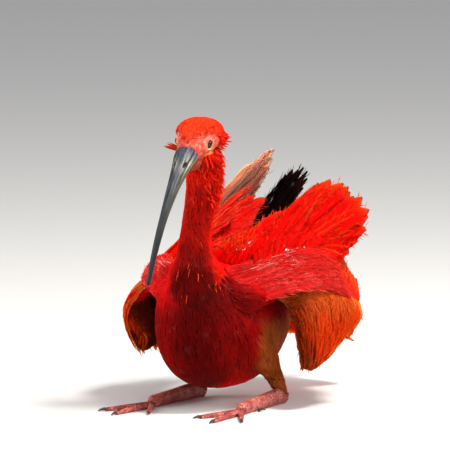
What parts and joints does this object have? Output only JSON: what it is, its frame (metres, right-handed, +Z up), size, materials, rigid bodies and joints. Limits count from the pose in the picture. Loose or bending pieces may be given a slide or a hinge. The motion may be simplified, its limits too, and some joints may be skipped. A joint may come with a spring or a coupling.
{
  "type": "scarlet ibis",
  "caption": "Life-size scarlet ibis bathing: it squats on folded legs with both wings half open and its long curved bill pointing down. A still model.",
  "frame": {"origin": "on the floor, under the middle of the whole bird's box", "axes": "+Z up; the bird faces -Y, its tail points +Y and its left wing is on the +X side"},
  "size_m": [0.242, 0.4024, 0.294],
  "materials": {
    "bill_horn": "wet grey horn, paler blue-grey on the right side, nearly black at the tip",
    "body_feathers": "wet, clumped scarlet feathers, darker on the breast",
    "claw_horn": "dark smooth horn",
    "eye": "wet, nearly black brown eye",
    "hand_feathers": "scarlet flight feathers with black ends on the outer ones",
    "head_feathers": "short wet scarlet feathers round a bare pink face",
    "leg_skin": "pale red scaly skin",
    "tail_feathers": "scarlet tail feathers",
    "thigh_feathers": "wet red-brown feathers",
    "wing_feathers": "scarlet flight feathers and coverts"
  },
  "bodies": {
    "root": {"bill_lower": "bill_horn", "bill_upper": "bill_horn", "claw_left_hind": "claw_horn", "claw_left_inner": "claw_horn", "claw_left_middle": "claw_horn", "claw_left_outer": "claw_horn", "claw_right_hind": "claw_horn", "claw_right_inner": "claw_horn", "claw_right_middle": "claw_horn", "claw_right_outer": "claw_horn", "eye_left": "eye", "eye_right": "eye", "hand_left": "hand_feathers", "hand_right": "hand_feathers", "head": "head_feathers", "neck": "body_feathers", "tail": "tail_feathers", "tarsus_left": "leg_skin", "tarsus_right": "leg_skin", "thigh_left": "thigh_feathers", "thigh_right": "thigh_feathers", "toes_left": "leg_skin", "toes_right": "leg_skin", "torso": "body_feathers", "wing_left": "wing_feathers", "wing_right": "wing_feathers"}
  },
  "joints": []
}
